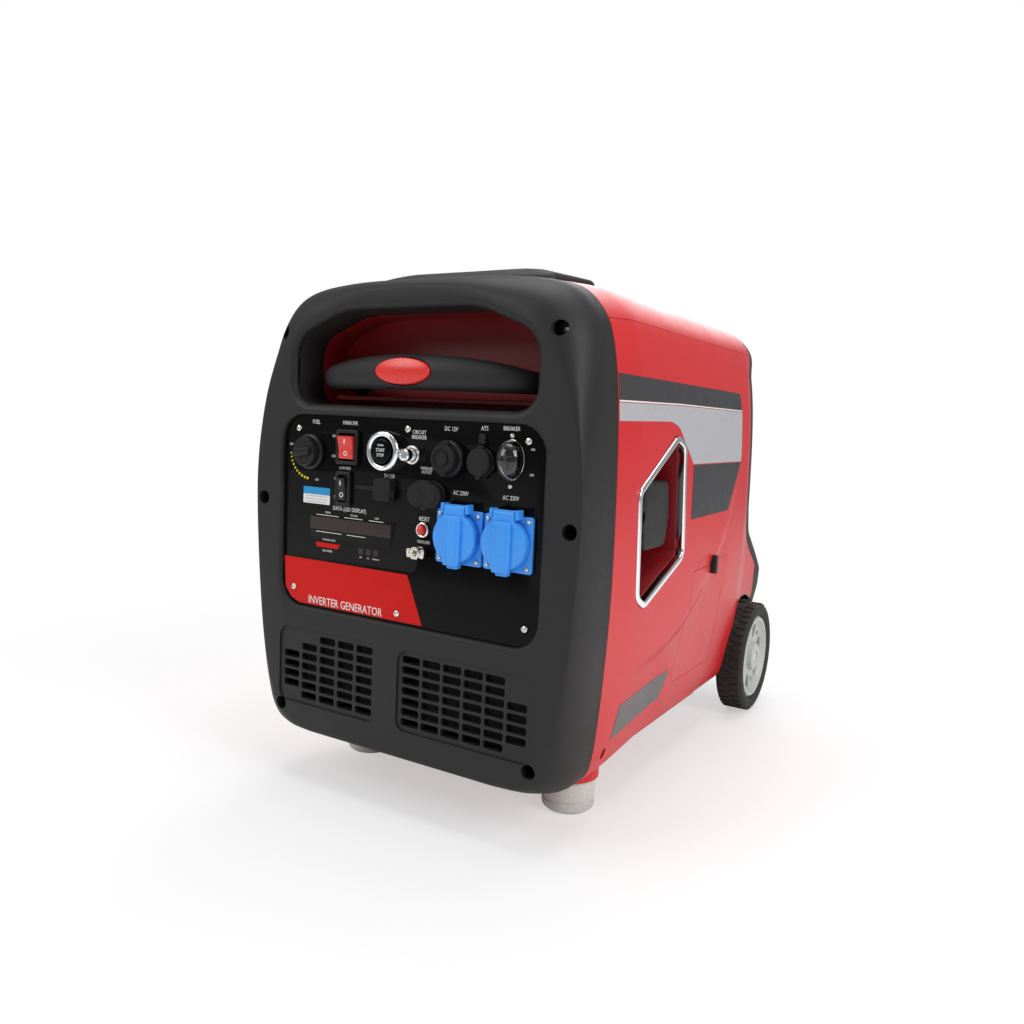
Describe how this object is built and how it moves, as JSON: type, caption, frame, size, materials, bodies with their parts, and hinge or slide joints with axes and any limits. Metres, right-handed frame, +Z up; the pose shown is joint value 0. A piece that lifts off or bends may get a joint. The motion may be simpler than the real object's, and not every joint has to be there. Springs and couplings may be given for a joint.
{
  "type": "portable generator",
  "caption": "Closed inverter generator on two wheels and two feet, with pull-out handle, control panel, lidded sockets, recoil starter window and service door.",
  "frame": {"origin": "on the ground under the middle of the object", "axes": "+Z up, +Y from the control panel to the wheels, +X to the right of someone facing the control panel"},
  "size_m": [0.402, 0.646, 0.538],
  "materials": {
    "red_plastic": "satin moulded",
    "red_paint": "satin paint",
    "red_button": "satin moulded",
    "black_plastic": "fine grained",
    "gloss_black": "gloss film",
    "chrome": "bright plated",
    "steel": "plated",
    "bare_aluminium": "as cast",
    "tyre_rubber": "moulded tread",
    "grey_plastic": "moulded",
    "pale_rubber": "moulded",
    "cap_rubber": "matte",
    "clear_plastic": "clear moulded",
    "socket_blue": "satin moulded",
    "rope_fibre": "braided"
  },
  "bodies": {
    "casing": {"handle_recess": "red_plastic", "side_panel_right": "red_plastic", "side_panel_left": "red_plastic", "top_panel": "red_plastic", "starter_recess": "red_plastic", "base_pan": "red_paint", "front_cover": "black_plastic", "top_surround": "black_plastic", "rear_cover": "black_plastic", "handle_guide_left": "black_plastic", "handle_guide_right": "black_plastic", "main_switch_frame": "black_plastic", "idle_switch_frame": "black_plastic", "breaker_body": "black_plastic", "dc_outlet": "black_plastic", "fuel_tank": "black_plastic", "battery": "black_plastic", "control_panel": "gloss_black", "display_window": "gloss_black", "starter_trim": "chrome", "start_ring": "chrome", "axle": "steel", "ground_terminal": "steel", "muffler": "steel", "engine": "bare_aluminium", "inverter_module": "bare_aluminium", "foot_left": "pale_rubber", "foot_right": "pale_rubber", "breaker_dome": "clear_plastic", "socket_left": "socket_blue", "socket_right": "socket_blue"},
    "handle": {"handle_grip": "black_plastic", "handle_tube_left": "steel", "handle_tube_right": "steel"},
    "release": {"handle_release": "red_button"},
    "pull_grip": {"starter_grip": "black_plastic", "starter_rope": "rope_fibre"},
    "pulley": {"recoil_pulley": "grey_plastic"},
    "wheel_left": {"tyre_left": "tyre_rubber", "hub_left": "grey_plastic"},
    "wheel_right": {"tyre_right": "tyre_rubber", "hub_right": "grey_plastic"},
    "knob": {"fuel_knob": "black_plastic"},
    "main_rocker": {"main_switch_rocker": "red_button"},
    "idle_rocker": {"idle_switch_rocker": "black_plastic"},
    "start_key": {"start_button": "black_plastic"},
    "breaker_key": {"breaker_button": "bare_aluminium"},
    "reset_key": {"reset_button": "red_button"},
    "toggle": {"breaker_toggle": "black_plastic"},
    "lid_left": {"socket_lid_left": "socket_blue"},
    "lid_right": {"socket_lid_right": "socket_blue"},
    "cap_dc": {"dc_cap": "cap_rubber"},
    "cap_ats": {"ats_cap": "cap_rubber"},
    "cap_usb": {"usb_cover": "cap_rubber"},
    "cap_parallel": {"parallel_cover": "cap_rubber"},
    "door": {"service_door": "red_plastic"},
    "latch": {"service_door_latch": "black_plastic"},
    "tank_cap": {"fuel_cap": "black_plastic"},
    "engine_shaft": {"crankshaft": "steel"},
    "earth_nut": {"ground_nut": "steel"}
  },
  "joints": [
    {"name": "handle_slide", "type": "slide", "parent": "casing", "child": "handle", "axis": [0, -1, 0], "range_m": [0, 0.28]},
    {"name": "release_press", "type": "slide", "parent": "handle", "child": "release", "axis": [0, 1, 0], "range_m": [0, 0.004], "stiffness_N_per_m": 700, "springref_m": -0.002},
    {"name": "starter_pull", "type": "slide", "parent": "casing", "child": "pull_grip", "axis": [1, 0, 0], "range_m": [0, 0.6], "stiffness_N_per_m": 20, "springref_m": -0.5, "deforming": ["starter_rope"]},
    {"name": "pulley_turn", "type": "hinge", "parent": "casing", "child": "pulley", "pos_m": [0.126, -0.092, 0.235], "axis": [1, 0, 0], "range_deg": [0, 860]},
    {"name": "wheel_left_spin", "type": "hinge", "parent": "casing", "child": "wheel_left", "pos_m": [-0.1815, 0.248, 0.075], "axis": [1, 0, 0], "continuous": true},
    {"name": "wheel_right_spin", "type": "hinge", "parent": "casing", "child": "wheel_right", "pos_m": [0.1815, 0.248, 0.075], "axis": [1, 0, 0], "continuous": true},
    {"name": "fuel_knob_turn", "type": "hinge", "parent": "casing", "child": "knob", "pos_m": [-0.119, -0.307, 0.348], "axis": [0, -1, 0], "range_deg": [0, 90]},
    {"name": "main_switch_rock", "type": "hinge", "parent": "casing", "child": "main_rocker", "pos_m": [-0.069, -0.3, 0.355], "axis": [1, 0, 0], "range_deg": [-16, 0]},
    {"name": "idle_switch_rock", "type": "hinge", "parent": "casing", "child": "idle_rocker", "pos_m": [-0.073, -0.3, 0.314], "axis": [1, 0, 0], "range_deg": [-16, 0]},
    {"name": "start_button_press", "type": "slide", "parent": "casing", "child": "start_key", "axis": [0, 1, 0], "range_m": [0, 0.0025], "stiffness_N_per_m": 700, "springref_m": -0.001},
    {"name": "breaker_button_press", "type": "slide", "parent": "casing", "child": "breaker_key", "axis": [0, 1, 0], "range_m": [0, 0.003], "stiffness_N_per_m": 700, "springref_m": -0.001},
    {"name": "reset_button_press", "type": "slide", "parent": "casing", "child": "reset_key", "axis": [0, 1, 0], "range_m": [0, 0.002], "stiffness_N_per_m": 700, "springref_m": -0.001},
    {"name": "breaker_toggle_flip", "type": "hinge", "parent": "casing", "child": "toggle", "pos_m": [0.118, -0.3058, 0.354], "axis": [1, 0, 0], "range_deg": [0, 36]},
    {"name": "socket_lid_left_open", "type": "hinge", "parent": "casing", "child": "lid_left", "pos_m": [0.068, -0.312, 0.3075], "axis": [1, 0, 0], "range_deg": [-110, 0], "stiffness_Nm_per_rad": 0.02, "springref_deg": 28.65},
    {"name": "socket_lid_right_open", "type": "hinge", "parent": "casing", "child": "lid_right", "pos_m": [0.12, -0.312, 0.3075], "axis": [1, 0, 0], "range_deg": [-110, 0], "stiffness_Nm_per_rad": 0.02, "springref_deg": 28.65},
    {"name": "dc_cap_open", "type": "hinge", "parent": "casing", "child": "cap_dc", "pos_m": [0.052, -0.3104, 0.3665], "axis": [1, 0, 0], "range_deg": [-120, 0]},
    {"name": "ats_cap_open", "type": "hinge", "parent": "casing", "child": "cap_ats", "pos_m": [0.088, -0.3074, 0.3645], "axis": [1, 0, 0], "range_deg": [-120, 0]},
    {"name": "usb_cover_open", "type": "hinge", "parent": "casing", "child": "cap_usb", "pos_m": [-0.0305, -0.3064, 0.317], "axis": [0, 0, 1], "range_deg": [-120, 0]},
    {"name": "parallel_cover_open", "type": "hinge", "parent": "casing", "child": "cap_parallel", "pos_m": [0.03, -0.3064, 0.3295], "axis": [1, 0, 0], "range_deg": [-85, 0]},
    {"name": "service_door_open", "type": "hinge", "parent": "casing", "child": "door", "pos_m": [0.1885, 0.033, 0.102], "axis": [0, 1, 0], "range_deg": [0, 85]},
    {"name": "door_latch_turn", "type": "hinge", "parent": "door", "child": "latch", "pos_m": [0.19, 0.036, 0.231], "axis": [1, 0, 0], "range_deg": [0, 90]},
    {"name": "fuel_cap_turn", "type": "hinge", "parent": "casing", "child": "tank_cap", "pos_m": [0, -0.164, 0.532], "axis": [0, 0, 1], "range_deg": [0, 90]},
    {"name": "crankshaft_turn", "type": "hinge", "parent": "casing", "child": "engine_shaft", "pos_m": [0, -0.092, 0.235], "axis": [1, 0, 0], "continuous": true},
    {"name": "ground_nut_turn", "type": "hinge", "parent": "casing", "child": "earth_nut", "pos_m": [0.024, -0.312, 0.262], "axis": [0, -1, 0], "range_deg": [0, 720]}
  ],
  "couplings": [
    {"joint": "pulley_turn", "follows": "starter_pull", "rad_per_m": 25}
  ]
}
